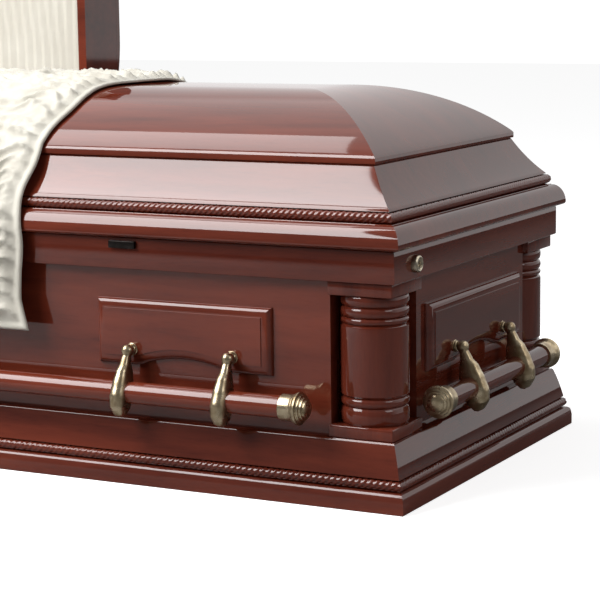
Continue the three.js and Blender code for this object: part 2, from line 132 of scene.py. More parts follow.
room = bpy.data.worlds.new("studio_room")
room.use_nodes = True
room_tree = room.node_tree
room_ray = add_node(room_tree, "ShaderNodeLightPath")
room_place = add_node(room_tree, "ShaderNodeTexCoord")
room_split = add_node(room_tree, "ShaderNodeSeparateXYZ")
room_tree.links.new(room_place.outputs["Generated"], room_split.inputs["Vector"])
backdrop = add_node(room_tree, "ShaderNodeMapRange", clamp=True)
backdrop.inputs["From Min"].default_value = BACKDROP_TOP_LOW
backdrop.inputs["From Max"].default_value = BACKDROP_TOP_HIGH
backdrop.inputs["To Min"].default_value = BACKDROP_MIRRORED
backdrop.inputs["To Max"].default_value = CEILING_MIRRORED
room_tree.links.new(room_split.outputs["Z"], backdrop.inputs["Value"])
by_ray = add_node(room_tree, "ShaderNodeMix", data_type="FLOAT")
by_ray.inputs["A"].default_value = ROOM_FILL
room_tree.links.new(room_ray.outputs["Is Glossy Ray"], by_ray.inputs["Factor"])
front_shade = add_node(room_tree, "ShaderNodeMapRange", clamp=True)
front_shade.inputs["From Min"].default_value = -DARK_FRONT_EDGE
front_shade.inputs["From Max"].default_value = DARK_FRONT_EDGE
front_shade.inputs["To Min"].default_value = DARK_FRONT
front_shade.inputs["To Max"].default_value = 1.0
room_tree.links.new(room_split.outputs["Y"], front_shade.inputs["Value"])
mirrored = add_node(room_tree, "ShaderNodeMath", operation="MULTIPLY")
room_tree.links.new(backdrop.outputs["Result"], mirrored.inputs[0])
room_tree.links.new(front_shade.outputs["Result"], mirrored.inputs[1])
room_tree.links.new(mirrored.outputs[0], by_ray.inputs["B"])
seen_or_lit = add_node(room_tree, "ShaderNodeMix", data_type="FLOAT")
seen_or_lit.inputs["B"].default_value = BACKDROP_SEEN
room_tree.links.new(room_ray.outputs["Is Camera Ray"], seen_or_lit.inputs["Factor"])
room_tree.links.new(by_ray.outputs["Result"], seen_or_lit.inputs["A"])
room_tree.links.new(seen_or_lit.outputs["Result"], room_tree.nodes["Background"].inputs["Strength"])
room_tree.nodes["Background"].inputs["Color"].default_value = (1, 1, 1, 1)
bpy.context.scene.world = room
softbox("front_softbox", (-1.27, -1.75, 2.42), (-1.27, -0.25, 0.30), (2.15, 2.5), 180)
softbox("lid_softbox", (-1.20, -0.12, 2.80), (-1.20, -0.12, 0), (2.0, 0.75), 20)
softbox("foot_softbox", (4.2, -1.0, 2.4), (0.8, 0, 0.3), (1.6, 1.6), 22)


# Lacquered mahogany: red-brown wood with a soft figure and fine pores under a thick clear gloss coat.
# The grain runs along each stick or board, so there is one finish for each direction.
EARLY_WOOD = (0.200, 0.037, 0.0175, 1)
LATE_WOOD = (0.060, 0.0100, 0.0058, 1)
GRAIN_ALONG, GRAIN_ACROSS = 1.6, 15.0
FIGURE_SHARE, STREAK_SHARE, PORE_SHARE = 0.62, 0.30, 0.10
WOOD_ROUGHNESS, STREAK_ROUGHNESS = 0.26, 0.10


def new_group(name, inputs, outputs):
    """A shader node group with its sockets, and its input and output nodes."""
    group = bpy.data.node_groups.new(name, "ShaderNodeTree")
    for label, kind in inputs:
        group.interface.new_socket(label, in_out="INPUT", socket_type=kind)
    for label, kind in outputs:
        group.interface.new_socket(label, in_out="OUTPUT", socket_type=kind)
    return group, group.nodes.new("NodeGroupInput"), group.nodes.new("NodeGroupOutput")


def noise_node(tree, place, scale, detail, distortion=0.0):
    """A noise texture read at a place socket."""
    texture = add_node(tree, "ShaderNodeTexNoise")
    texture.inputs["Scale"].default_value = scale
    texture.inputs["Detail"].default_value = detail
    texture.inputs["Distortion"].default_value = distortion
    tree.links.new(place, texture.inputs["Vector"])
    return texture.outputs["Fac"]


def ramp_node(tree, factor, low, high):
    """Spreads the factors between low and high over 0 to 1."""
    ramp = add_node(tree, "ShaderNodeMapRange", clamp=True)
    ramp.inputs["From Min"].default_value = low
    ramp.inputs["From Max"].default_value = high
    tree.links.new(factor, ramp.inputs["Value"])
    return ramp.outputs["Result"]


def math_node(tree, operation, first, second):
    """A math node between a socket and a socket or a number."""
    step = add_node(tree, "ShaderNodeMath", operation=operation)
    tree.links.new(first, step.inputs[0])
    if isinstance(second, (int, float)):
        step.inputs[1].default_value = second
    else:
        tree.links.new(second, step.inputs[1])
    return step.outputs[0]


def mix_colour(tree, factor, first, second):
    """Mixes two colour sockets by a factor socket."""
    mix = add_node(tree, "ShaderNodeMix", data_type="RGBA")
    tree.links.new(factor, mix.inputs["Factor"])
    tree.links.new(first, mix.inputs["A"])
    tree.links.new(second, mix.inputs["B"])
    return mix.outputs["Result"]


grain, grain_in, grain_out = new_group(
    "mahogany_grain",
    [("Place", "NodeSocketVector"), ("Early wood", "NodeSocketColor"), ("Late wood", "NodeSocketColor")],
    [("Color", "NodeSocketColor"), ("Roughness", "NodeSocketFloat"), ("Pores", "NodeSocketFloat")],
)
figure = ramp_node(grain, noise_node(grain, grain_in.outputs["Place"], 0.55, 5, 1.1), 0.30, 0.70)
streaks = ramp_node(grain, noise_node(grain, grain_in.outputs["Place"], 3.4, 4, 0.4), 0.28, 0.72)
pores = ramp_node(grain, noise_node(grain, grain_in.outputs["Place"], 24.0, 2), 0.52, 0.72)
darkness = math_node(grain, "MULTIPLY", figure, FIGURE_SHARE)
darkness = math_node(grain, "ADD", darkness, math_node(grain, "MULTIPLY", streaks, STREAK_SHARE))
darkness = math_node(grain, "ADD", darkness, math_node(grain, "MULTIPLY", pores, PORE_SHARE))
wood_colour = mix_colour(grain, darkness, grain_in.outputs["Early wood"], grain_in.outputs["Late wood"])
grain.links.new(wood_colour, grain_out.inputs["Color"])
grain.links.new(pores, grain_out.inputs["Pores"])
gloss = math_node(grain, "ADD", math_node(grain, "MULTIPLY", streaks, STREAK_ROUGHNESS), WOOD_ROUGHNESS)
grain.links.new(gloss, grain_out.inputs["Roughness"])


def lacquered_mahogany(name, grain_scale):
    """Mahogany under gloss lacquer, its grain drawn out along the axis with the smallest scale."""
    material, shader, tree = plain_material(name)
    place = add_node(tree, "ShaderNodeTexCoord")
    mapping = add_node(tree, "ShaderNodeMapping")
    mapping.inputs["Scale"].default_value = grain_scale
    tree.links.new(place.outputs["Object"], mapping.inputs["Vector"])
    figure_node = add_node(tree, "ShaderNodeGroup", node_tree=grain)
    tree.links.new(mapping.outputs["Vector"], figure_node.inputs["Place"])
    figure_node.inputs["Early wood"].default_value = EARLY_WOOD
    figure_node.inputs["Late wood"].default_value = LATE_WOOD
    bump = add_node(tree, "ShaderNodeBump")
    bump.inputs["Strength"].default_value = 0.05
    bump.inputs["Distance"].default_value = 0.0004
    tree.links.new(figure_node.outputs["Pores"], bump.inputs["Height"])
    tree.links.new(figure_node.outputs["Color"], shader.inputs["Base Color"])
    tree.links.new(figure_node.outputs["Roughness"], shader.inputs["Roughness"])
    tree.links.new(bump.outputs["Normal"], shader.inputs["Normal"])
    shader.inputs["Coat Weight"].default_value = 1.0
    shader.inputs["Coat Roughness"].default_value = 0.035
    shader.inputs["Coat IOR"].default_value = 1.5
    shader.inputs["Specular IOR Level"].default_value = 0.0
    return material


mahogany_along_x = lacquered_mahogany("mahogany_along_length", (GRAIN_ALONG, GRAIN_ACROSS, GRAIN_ACROSS))
mahogany_along_y = lacquered_mahogany("mahogany_along_width", (GRAIN_ACROSS, GRAIN_ALONG, GRAIN_ACROSS))
mahogany_upright = lacquered_mahogany("mahogany_upright", (GRAIN_ACROSS, GRAIN_ACROSS, GRAIN_ALONG))
mahogany_by_side = {
    "front": mahogany_along_x, "back": mahogany_along_x,
    "foot": mahogany_along_y, "head": mahogany_along_y,
}


# Base mouldings: four sticks with a plinth, a hollow for the rope bead and a sloped skirt, mitred at the
# corners and glued round the floor board. They are run to one section, which is swept between the mitres.
HALF_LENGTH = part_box("base_moulding_foot")[1][0]
HALF_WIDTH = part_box("base_moulding_back")[1][1]
BASE_ROPE_INSET, BASE_ROPE_HEIGHT, ROPE_RADIUS = 0.0150, 0.0405, 0.0082
SIDES = {
    "front": (Vector((1, 0, 0)), Vector((0, -1, 0)), HALF_LENGTH, HALF_WIDTH),
    "foot": (Vector((0, 1, 0)), Vector((1, 0, 0)), HALF_WIDTH, HALF_LENGTH),
    "back": (Vector((-1, 0, 0)), Vector((0, 1, 0)), HALF_LENGTH, HALF_WIDTH),
    "head": (Vector((0, -1, 0)), Vector((-1, 0, 0)), HALF_WIDTH, HALF_LENGTH),
}


def on_side(side, along, inset, height):
    """A place on one side: along it to the viewer's right, in from the plinth's face, and up."""
    right, out, _, reach = SIDES[side]
    return right * along + out * (reach - inset) + Vector((0, 0, height))


def at_mitre(side, end):
    """Places a section's points on the mitre at one end, -1 or 1, of a side."""
    half_run = SIDES[side][2]
    return lambda inset, height: on_side(side, end * (half_run - inset), inset, height)


def arc(centre, radii, start, stop, steps):
    """Points (inset, height) on an ellipse, with angles in degrees from straight inward."""
    angles = [math.radians(start + (stop - start) * step / steps) for step in range(steps + 1)]
    return [(centre[0] + radii[0] * math.cos(a), centre[1] + radii[1] * math.sin(a)) for a in angles]


def bend(first, handle, last, steps):
    """Points on a smooth bend from first to last, drawn towards its handle."""
    shares = [step / steps for step in range(steps + 1)]
    return [
        tuple((1 - t) ** 2 * a + 2 * t * (1 - t) * b + t * t * c for a, b, c in zip(first, handle, last))
        for t in shares
    ]


def swept(section, stations):
    """Extrudes a closed section of (inset, height) points through stations that place it."""
    bm = bmesh.new()
    face = bm.faces.new([bm.verts.new((0, inset, height)) for inset, height in section])
    for _ in stations[1:]:
        grown = bmesh.ops.extrude_face_region(bm, geom=[face])["geom"]
        face = next(item for item in grown if isinstance(item, bmesh.types.BMFace))
        bmesh.ops.translate(bm, vec=(1, 0, 0), verts=list(face.verts))
    for vert in bm.verts:
        vert.co = stations[round(vert.co.x)](vert.co.y, vert.co.z)
    return bm


def joined(*parts):
    """One bmesh that holds several, each a closed shell of its own."""
    whole = bmesh.new()
    for part in parts:
        bmesh.ops.recalc_face_normals(part, faces=part.faces)
        scrap = bpy.data.meshes.new("scrap")
        part.to_mesh(scrap)
        part.free()
        whole.from_mesh(scrap)
        bpy.data.meshes.remove(scrap)
    return whole


def finished(name, bm, material, body, replaced=(), sharp_angle=32):
    """Turns a bmesh into a piece that rides on a body and stands for the nodes it replaces."""
    bmesh.ops.recalc_face_normals(bm, faces=bm.faces)
    mesh = bpy.data.meshes.new(name)
    bm.to_mesh(mesh)
    bm.free()
    mesh.polygons.foreach_set("use_smooth", [True] * len(mesh.polygons))
    mesh.set_sharp_from_angle(angle=math.radians(sharp_angle))
    mesh.materials.append(material)
    piece = bpy.data.objects.new(name, mesh)
    bpy.context.scene.collection.objects.link(piece)
    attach(piece, body)
    if replaced:
        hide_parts(*replaced)
    return piece


base_section = [
    (0.0010, 0), (0, 0.001), (0, 0.0170), (0.0004, 0.0195), (0.0015, 0.0260), (0.0030, 0.0288),
    (0.0060, 0.0310), (0.0180, 0.0320), (0.0190, 0.0480),
    *bend((0.0115, 0.0505), (0.0168, 0.0765), (0.0255, 0.0995), 10),
    (0.0262, 0.1008), (0.0272, 0.1018), (0.0282, 0.1020), (0.0600, 0.1020), (0.0600, 0),
]
for side in SIDES:
    base_stick = swept(base_section, [at_mitre(side, -1), at_mitre(side, 1)])
    finished(
        f"base_stick_{side}", base_stick, mahogany_by_side[side], "root",
        [f"base_moulding_{side}"],
    )


# Rope beads: turned mahogany rods carved with five twisted strands, let into the hollow of the base.
# Each rod is a grid rolled into a tube, with its lobes wound along it and its ends cut to the mitre.
ROPE_PITCH, ROPE_STRANDS, ROPE_DEPTH = 0.051, 5, 0.30
ROPE_STEP, ROPE_SIDES = 0.0030, 26


def rope_bead(length, place):
    """A twisted bead; place(along, out, up) gives the spot for each point of its skin."""
    bm = bmesh.new()
    bmesh.ops.create_grid(bm, x_segments=round(length / ROPE_STEP), y_segments=ROPE_SIDES, size=1)
    for vert in bm.verts:
        along, angle = vert.co.x * length / 2, vert.co.y * math.pi
        twist = angle - math.tau * along / ROPE_PITCH
        lobe = abs(math.cos(twist * ROPE_STRANDS / 2))
        radius = ROPE_RADIUS * (1 - ROPE_DEPTH * (1 - lobe) ** 1.5)
        vert.co = place(along, radius * math.cos(angle), radius * math.sin(angle))
    bmesh.ops.remove_doubles(bm, verts=bm.verts, dist=0.00002)
    bmesh.ops.holes_fill(bm, edges=[edge for edge in bm.edges if edge.is_boundary])
    return bm


def on_base_rope(side):
    """Places a rope's points in the hollow of one base stick, drawn in to the mitres."""
    half_run = SIDES[side][2]

    def place(along, out, up):
        inset = BASE_ROPE_INSET - out
        return on_side(side, along * (half_run - inset) / half_run, inset, BASE_ROPE_HEIGHT + up)

    return place


for side in SIDES:
    base_rope = rope_bead(2 * SIDES[side][2], on_base_rope(side))
    finished(f"base_rope_{side}", base_rope, mahogany_by_side[side], "root", sharp_angle=80)


# Floor board, wall boards and the corner boards behind the columns: plain planed boards, glued into the
# base and under the rails. Their solids are right as they are and get the lacquered wood.
def dressed(node, material):
    """Gives a carried-over node its finish."""
    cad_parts[node].material_slots[0].material = material


CORNERS = [("front", "foot"), ("back", "foot"), ("back", "head"), ("front", "head")]
dressed("floor_board", mahogany_along_x)
for side in SIDES:
    dressed(f"wall_{side}", mahogany_by_side[side])
for long_side, end_side in CORNERS:
    dressed(f"corner_recess_{long_side}_{end_side}", mahogany_upright)


# Corner posts: turned columns with two beads below and three above, between square blocks with eased
# edges. The column is spun from its profile, and stands in the notch of the corner.
POST_INSET, POST_RADIUS, POST_GROOVE = 0.084, 0.0525, 0.0045
POST_FOOT = 0.120
POST_TURNINGS = [
    (0.149, "bead"), (0.163, "bead"), (0.275, "shaft"), (0.285, "bead"), (0.301, "bead"), (0.320, "bead"),
]
BLOCK_NEAR, BLOCK_FAR = 0.030, 0.137
BLOCK_HEIGHTS = [(0.1023, 0.121), (0.319, 0.3397)]
BLOCK_EASE = 0.0018
BEAD_STEPS, POST_SIDES, SHAFT_FLATNESS = 10, 64, 17


def lathed(profile, centre, axis, steps):
    """Spins (radius, along) points a full turn round an axis through a centre."""
    bm = bmesh.new()
    axis, centre = Vector(axis), Vector(centre)
    across = axis.orthogonal().normalized()
    verts = [bm.verts.new(centre + across * radius + axis * along) for radius, along in profile]
    edges = [bm.edges.new(pair) for pair in zip(verts, verts[1:])]
    bmesh.ops.spin(
        bm, geom=verts + edges, cent=centre, axis=axis, angle=math.tau, steps=steps, use_merge=True,
    )
    bmesh.ops.remove_doubles(bm, verts=bm.verts, dist=0.00001)
    return bm


def eased_block(low, high, ease):
    """A rectangular block between two corners, with its edges rounded over."""
    bm = bmesh.new()
    bmesh.ops.create_cube(bm, size=1)
    low, high = Vector(low), Vector(high)
    bmesh.ops.scale(bm, vec=[abs(high[i] - low[i]) for i in range(3)], verts=bm.verts)
    bmesh.ops.translate(bm, vec=(low + high) / 2, verts=bm.verts)
    bmesh.ops.bevel(
        bm, geom=list(bm.edges), offset=ease, segments=3, profile=0.5, affect="EDGES", material=-1,
    )
    return bm


post_profile = [(0, POST_FOOT)]
turning_foot = POST_FOOT
for turning_top, turning in POST_TURNINGS:
    steps = 3 * BEAD_STEPS if turning == "shaft" else BEAD_STEPS
    for step in range(steps + 1):
        share = step / steps
        swell = 2 * share - 1
        if turning == "shaft":
            swell = swell ** SHAFT_FLATNESS
        fullness = math.sqrt(max(0, 1 - swell * swell))
        radius = POST_RADIUS - POST_GROOVE * (1 - fullness)
        post_profile.append((radius, turning_foot + (turning_top - turning_foot) * share))
    turning_foot = turning_top
post_profile.append((0, turning_foot))
for long_side, end_side in CORNERS:
    to_end = 1 if end_side == "foot" else -1
    to_side = 1 if long_side == "back" else -1
    post_centre = (to_end * (HALF_LENGTH - POST_INSET), to_side * (HALF_WIDTH - POST_INSET), 0)
    post_parts = [lathed(post_profile, post_centre, (0, 0, 1), POST_SIDES)]
    for foot, top in BLOCK_HEIGHTS:
        near = (to_end * (HALF_LENGTH - BLOCK_NEAR), to_side * (HALF_WIDTH - BLOCK_NEAR), foot)
        far = (to_end * (HALF_LENGTH - BLOCK_FAR), to_side * (HALF_WIDTH - BLOCK_FAR), top)
        post_parts.append(eased_block(near, far, BLOCK_EASE))
    post_name = f"{long_side}_{end_side}"
    finished(
        f"turned_post_{post_name}", joined(*post_parts), mahogany_upright, "root",
        [f"corner_post_{post_name}"],
    )


# Top rails: four square sticks of mahogany with eased edges, glued on top of the walls and the blocks.
# They are run to one section, which is swept between the mitres at the corners.
rail_section = [
    (0.0250, 0.3400), (0.0235, 0.3408), (0.0230, 0.3425), (0.0230, 0.3868), (0.0238, 0.3890),
    (0.0258, 0.3900), (0.0600, 0.3900), (0.0600, 0.3400),
]
for side in SIDES:
    rail = swept(rail_section, [at_mitre(side, -1), at_mitre(side, 1)])
    finished(f"rail_stick_{side}", rail, mahogany_by_side[side], "root", [f"top_rail_{side}"])


# Raised panels: boards with a round moulded edge, a small step and a flat field, glued to the walls.
# The lower edge has a shallow arch between the two handle arms.
WALL_FACE, PANEL_LIP, PANEL_ROUND, PANEL_EDGE = 0.0397, 0.0012, 0.0094, 0.0135
PANEL_ROUND_STEPS = 7
PANEL_STEP_WIDTH, PANEL_STEP_RISE, PANEL_STEP_DRAFT = 0.0016, 0.0014, 0.0005
PANEL_FOOT, PANEL_TOP, PANEL_ARCH = 0.186, 0.292, 0.015
LONG_PANEL = {"width": 0.313, "chord": 0.160, "arms": 0.181}
END_PANEL = {"width": 0.375, "chord": 0.172, "arms": 0.196}
LONG_CENTRES = [-0.662, 0.0, 0.662]
ARCH_STEPS = 18


def panel_board(side, centre, width, chord):
    """A raised panel on one side, with its moulded edge and field."""
    arch_radius = (chord * chord / 4 + PANEL_ARCH * PANEL_ARCH) / (2 * PANEL_ARCH)
    half_angle = math.asin(chord / 2 / arch_radius)
    outline = [(-width / 2, PANEL_TOP), (-width / 2, PANEL_FOOT)]
    for step in range(ARCH_STEPS + 1):
        angle = half_angle * (2 * step / ARCH_STEPS - 1)
        rise = arch_radius * math.cos(angle) - (arch_radius - PANEL_ARCH)
        outline.append((arch_radius * math.sin(angle), PANEL_FOOT + rise))
    outline += [(width / 2, PANEL_FOOT), (width / 2, PANEL_TOP)]
    bm = bmesh.new()
    back = bm.faces.new([bm.verts.new(on_side(side, centre + x, WALL_FACE, z)) for x, z in outline])
    grown = bmesh.ops.extrude_face_region(bm, geom=[back])["geom"]
    field = next(item for item in grown if isinstance(item, bmesh.types.BMFace))
    out = SIDES[side][1]
    bmesh.ops.translate(bm, vec=out * PANEL_LIP, verts=list(field.verts))
    bmesh.ops.recalc_face_normals(bm, faces=bm.faces)
    for step in range(PANEL_ROUND_STEPS):
        low, high = (math.pi / 2 * share / PANEL_ROUND_STEPS for share in (step, step + 1))
        bmesh.ops.inset_region(
            bm, faces=[field], use_even_offset=True,
            thickness=PANEL_EDGE * (math.cos(low) - math.cos(high)),
            depth=PANEL_ROUND * (math.sin(high) - math.sin(low)),
        )
    bmesh.ops.inset_region(bm, faces=[field], thickness=PANEL_STEP_WIDTH, use_even_offset=True)
    bmesh.ops.inset_region(
        bm, faces=[field], thickness=PANEL_STEP_DRAFT, depth=PANEL_STEP_RISE, use_even_offset=True,
    )
    return bm


def panel_places(side):
    """Centres and sizes of the panels on one side, counted as the nodes are."""
    if side in ("front", "back"):
        return [(centre, LONG_PANEL) for centre in LONG_CENTRES]
    return [(0.0, END_PANEL)]


for side in SIDES:
    for number, (centre, size) in enumerate(panel_places(side), 1):
        seen = centre * SIDES[side][0].x if side in ("front", "back") else centre
        board = panel_board(side, seen, size["width"], size["chord"])
        finished(
            f"moulded_panel_{side}_{number}", board, mahogany_by_side[side], "root",
            [f"raised_panel_{side}_{number}"],
        )


# Handle fittings: cast brass with an antique satin finish, brown in the hollows and paler where hands rub.
# Each ear is a small turned cup screwed to a panel, and the arm's ball turns in it.
BRASS_PALE, BRASS_DARK = (0.53, 0.44, 0.30, 1), (0.24, 0.175, 0.10, 1)
BRASS_ROUGHNESS, CLOUD_ROUGHNESS = 0.24, 0.14
KNUCKLE_INSET, KNUCKLE_HEIGHT, KNUCKLE_RADIUS = 0.015, 0.212, 0.010
EAR_PROFILE = [
    (0, 0.0106), (0.0040, 0.0099), (0.0068, 0.0083), (0.0080, 0.0082), (0.0087, 0.0090), (0.0089, 0.0102),
    (0.0089, 0.0122), (0.0104, 0.0128), (0.0106, 0.0136), (0, 0.0136),
]

patina, patina_in, patina_out = new_group(
    "brass_patina",
    [("Place", "NodeSocketVector"), ("Rubbed", "NodeSocketColor"), ("Tarnished", "NodeSocketColor")],
    [("Color", "NodeSocketColor"), ("Roughness", "NodeSocketFloat"), ("Height", "NodeSocketFloat")],
)
clouding = ramp_node(patina, noise_node(patina, patina_in.outputs["Place"], 60, 4, 0.5), 0.35, 0.68)
casting = noise_node(patina, patina_in.outputs["Place"], 900, 2)
brass_colour = mix_colour(patina, clouding, patina_in.outputs["Rubbed"], patina_in.outputs["Tarnished"])
patina.links.new(brass_colour, patina_out.inputs["Color"])
dulling = math_node(patina, "MULTIPLY", clouding, CLOUD_ROUGHNESS)
patina.links.new(math_node(patina, "ADD", dulling, BRASS_ROUGHNESS), patina_out.inputs["Roughness"])
patina.links.new(casting, patina_out.inputs["Height"])


def antique_metal(name, rubbed, tarnished):
    """Satin cast metal with a clouded patina."""
    material, shader, tree = plain_material(name)
    place = add_node(tree, "ShaderNodeTexCoord")
    wear = add_node(tree, "ShaderNodeGroup", node_tree=patina)
    tree.links.new(place.outputs["Object"], wear.inputs["Place"])
    wear.inputs["Rubbed"].default_value = rubbed
    wear.inputs["Tarnished"].default_value = tarnished
    bump = add_node(tree, "ShaderNodeBump")
    bump.inputs["Strength"].default_value = 0.12
    bump.inputs["Distance"].default_value = 0.0003
    tree.links.new(wear.outputs["Height"], bump.inputs["Height"])
    tree.links.new(bump.outputs["Normal"], shader.inputs["Normal"])
    tree.links.new(wear.outputs["Color"], shader.inputs["Base Color"])
    tree.links.new(wear.outputs["Roughness"], shader.inputs["Roughness"])
    shader.inputs["Metallic"].default_value = 1.0
    return material


antique_brass = antique_metal("antique_brass", BRASS_PALE, BRASS_DARK)


def arm_places(side):
    """Where the arms of one side stand along it."""
    flip = SIDES[side][0].x if side in ("front", "back") else 1
    return [
        flip * centre + half * size["arms"] / 2
        for centre, size in panel_places(side) for half in (-flip, flip)
    ]


for side in SIDES:
    for number, along in enumerate(arm_places(side), 1):
        knuckle = on_side(side, along, KNUCKLE_INSET, KNUCKLE_HEIGHT)
        ear = lathed(EAR_PROFILE, knuckle, -SIDES[side][1], 32)
        finished(
            f"ear_cup_{side}_{number}", ear, antique_brass, "root",
            [f"handle_ear_{side}_{number}"],
        )


# Swing handles: each is a round mahogany bar held by cast arms, with stepped brass tips on its ends.
# An arm is a ball and a ridged leaf cast in one, which wraps the bar and ends in a point below it.
BAR_INSET, BAR_HEIGHT, BAR_RADIUS, BAR_EASE = 0.0, 0.1485, 0.0175, 0.001
ARM_TIP_INSET, ARM_TIP_HEIGHT = -0.011, 0.113
ARM_END = 1.03
ARM_WIDTHS = [
    (0, 0.0052), (0.2, 0.0078), (0.33, 0.0105), (0.52, 0.0130),
    (0.72, 0.0142), (0.88, 0.0130), (1, 0.0085), (ARM_END, 0),
]
ARM_FRONTS = [
    (0, 0.0055), (0.2, 0.0110), (0.33, 0.0185), (0.52, 0.0235),
    (0.72, 0.0262), (0.88, 0.0228), (1, 0.0120), (ARM_END, 0),
]
ARM_BACKS = [
    (0, 0.0050), (0.2, 0.0085), (0.33, 0.0140), (0.52, 0.0185),
    (0.72, 0.0190), (0.88, 0.0140), (1, 0.0060), (ARM_END, 0),
]
ARM_SQUARENESS = 0.66
HALF_BARS = {"front": 0.857, "back": 0.857, "foot": 0.199, "head": 0.199}
TIP_PROFILE = [
    (0, -0.0020), (0.0200, -0.0020), (0.0206, -0.0012), (0.0206, 0.0150), (0.0209, 0.0170),
    (0.0222, 0.0200), (0.0226, 0.0206), (0.0226, 0.0216), (0.0240, 0.0235), (0.0254, 0.0255),
    (0.0256, 0.0265), (0.0256, 0.0285), (0.0250, 0.0294), (0.0222, 0.0298), (0.0216, 0.0304),
    (0.0216, 0.0326), (0.0208, 0.0334), (0.0184, 0.0338), (0.0178, 0.0344), (0.0178, 0.0362),
    (0.0170, 0.0370), (0.0144, 0.0373), (0.0138, 0.0379), (0.0138, 0.0396), (0.0128, 0.0405),
    (0.0080, 0.0416), (0.0040, 0.0421), (0, 0.0422),
]


def eased_between(keys, share):
    """A value between given keys (share, value), eased from key to key."""
    for (start, first), (stop, last) in zip(keys, keys[1:]):
        if start <= share <= stop:
            t = (share - start) / (stop - start)
            return first + (last - first) * (t * t * (3 - 2 * t) + t) / 2
    return 0.0


def handle_arm(side, along):
    """A ball-headed leaf arm: a globe of rings drawn out from the knuckle to the tip."""
    top = on_side(side, along, KNUCKLE_INSET, KNUCKLE_HEIGHT)
    tip = on_side(side, along, ARM_TIP_INSET, ARM_TIP_HEIGHT)
    down = (tip - top).normalized()
    length = (tip - top).length
    across = SIDES[side][0]
    forward = down.cross(across)
    if forward.dot(SIDES[side][1]) < 0:
        forward = -forward
    bm = bmesh.new()
    bmesh.ops.create_uvsphere(bm, u_segments=28, v_segments=48, radius=1)
    for vert in bm.verts:
        turn = math.atan2(vert.co.x, vert.co.y)
        fall = math.acos(max(-1, min(1, vert.co.z))) / math.pi
        reach = -KNUCKLE_RADIUS + fall * (length * ARM_END + KNUCKLE_RADIUS)
        share = reach / length
        ball = math.sqrt(max(0, KNUCKLE_RADIUS ** 2 - reach * reach))
        leaf_width = eased_between(ARM_WIDTHS, share)
        width = max(ball, leaf_width)
        front = max(ball, eased_between(ARM_FRONTS, share))
        back = max(ball, eased_between(ARM_BACKS, share))
        power = ARM_SQUARENESS if leaf_width > ball else 1
        facing, siding = math.cos(turn), math.sin(turn)
        lift = math.copysign(abs(facing) ** power, facing) * (front if facing > 0 else back)
        spread = math.copysign(abs(siding) ** (0.5 + power / 2), siding) * width
        vert.co = top + down * reach + across * spread + forward * lift
    return bm


for side in SIDES:
    right = SIDES[side][0]
    half_bar = HALF_BARS[side]
    body = f"{side}_handle"
    bar_profile = [
        (0, -half_bar), (BAR_RADIUS - BAR_EASE, -half_bar), (BAR_RADIUS, -half_bar + BAR_EASE),
        (BAR_RADIUS, half_bar - BAR_EASE), (BAR_RADIUS - BAR_EASE, half_bar), (0, half_bar),
    ]
    bar_centre = on_side(side, 0, BAR_INSET, BAR_HEIGHT)
    bar = lathed(bar_profile, bar_centre, right, 48)
    finished(f"handle_bar_{side}", bar, mahogany_by_side[side], body, [f"swing_handle_{side}"])
    for number, along in enumerate(arm_places(side), 1):
        arm = handle_arm(side, along)
        finished(f"handle_arm_{side}_{number}", arm, antique_brass, body, sharp_angle=70)
    for end, end_name in ((-1, "left"), (1, "right")):
        tip_centre = bar_centre + right * (end * half_bar)
        tip = lathed(TIP_PROFILE, tip_centre, right * end, 48)
        finished(f"handle_tip_{side}_{end_name}", tip, antique_brass, body)


# Key cap and lid catch: a turned metal cap over the lock in the foot rail, with a sunk face, and a small
# dark catch let into the front rail under the lid's rim.
CAP_ALONG, CAP_HEIGHT, RAIL_FACE = -0.2605, 0.364, 0.023
CAP_PROFILE = [
    (0, -0.0005), (0.0135, -0.0005), (0.0135, 0.0062), (0.0130, 0.0075), (0.0118, 0.0090), (0.0104, 0.0096),
    (0.0092, 0.0092), (0.0086, 0.0080), (0.0050, 0.0080), (0.0046, 0.0060), (0, 0.0060),
]
CAP_PALE, CAP_DARK = (0.50, 0.44, 0.34, 1), (0.30, 0.26, 0.19, 1)
CATCH_PALE, CATCH_DARK = (0.035, 0.030, 0.028, 1), (0.015, 0.013, 0.012, 1)
CATCH_PROUD, CATCH_EASE = 0.006, 0.0012
cap_metal = antique_metal("rubbed_cap_metal", CAP_PALE, CAP_DARK)
cap_centre = on_side("foot", CAP_ALONG, RAIL_FACE, CAP_HEIGHT)
cap = lathed(CAP_PROFILE, cap_centre, (1, 0, 0), 40)
finished("turned_key_cap", cap, cap_metal, "root", ["key_cap"])
catch_metal = antique_metal("dark_catch_metal", CATCH_PALE, CATCH_DARK)
catch_low, catch_high = (Vector(corner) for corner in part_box("lid_catch"))
catch_low.y = max(catch_low.y, -HALF_WIDTH + RAIL_FACE - CATCH_PROUD)
catch_high.y = -HALF_WIDTH + RAIL_FACE
catch_block = eased_block(catch_low, catch_high, CATCH_EASE)
finished("lid_catch_block", catch_block, catch_metal, "root", ["lid_catch"])


# Lid hinges: long brass strips screwed to the back rail, one for each lid, with their barrels on the hinge
# line. Their solids are right as they are and get the antique brass.
for node in ("foot_lid_hinge", "head_lid_hinge"):
    dressed(node, antique_brass)


# Lid frames: a rim, a rope bead and a hollow cove in one moulding, run round three sides of each lid and
# mitred at the outer corners. The head lid is the foot lid turned end for end and swung up on its hinge.
LID_SPLIT = 0.0015
LID_ROPE_INSET, LID_ROPE_HEIGHT = 0.038, 0.4372
HINGE_LINE = Vector((0, 0.3365, 0.387))
HEAD_OPEN = (
    Matrix.Translation(HINGE_LINE) @ Matrix.Rotation(-math.pi / 2, 4, "X")
    @ Matrix.Translation(-HINGE_LINE) @ Matrix.Rotation(math.pi, 4, "Z")
)
LIDS = {"foot_lid": Matrix.Identity(4), "head_lid": HEAD_OPEN}


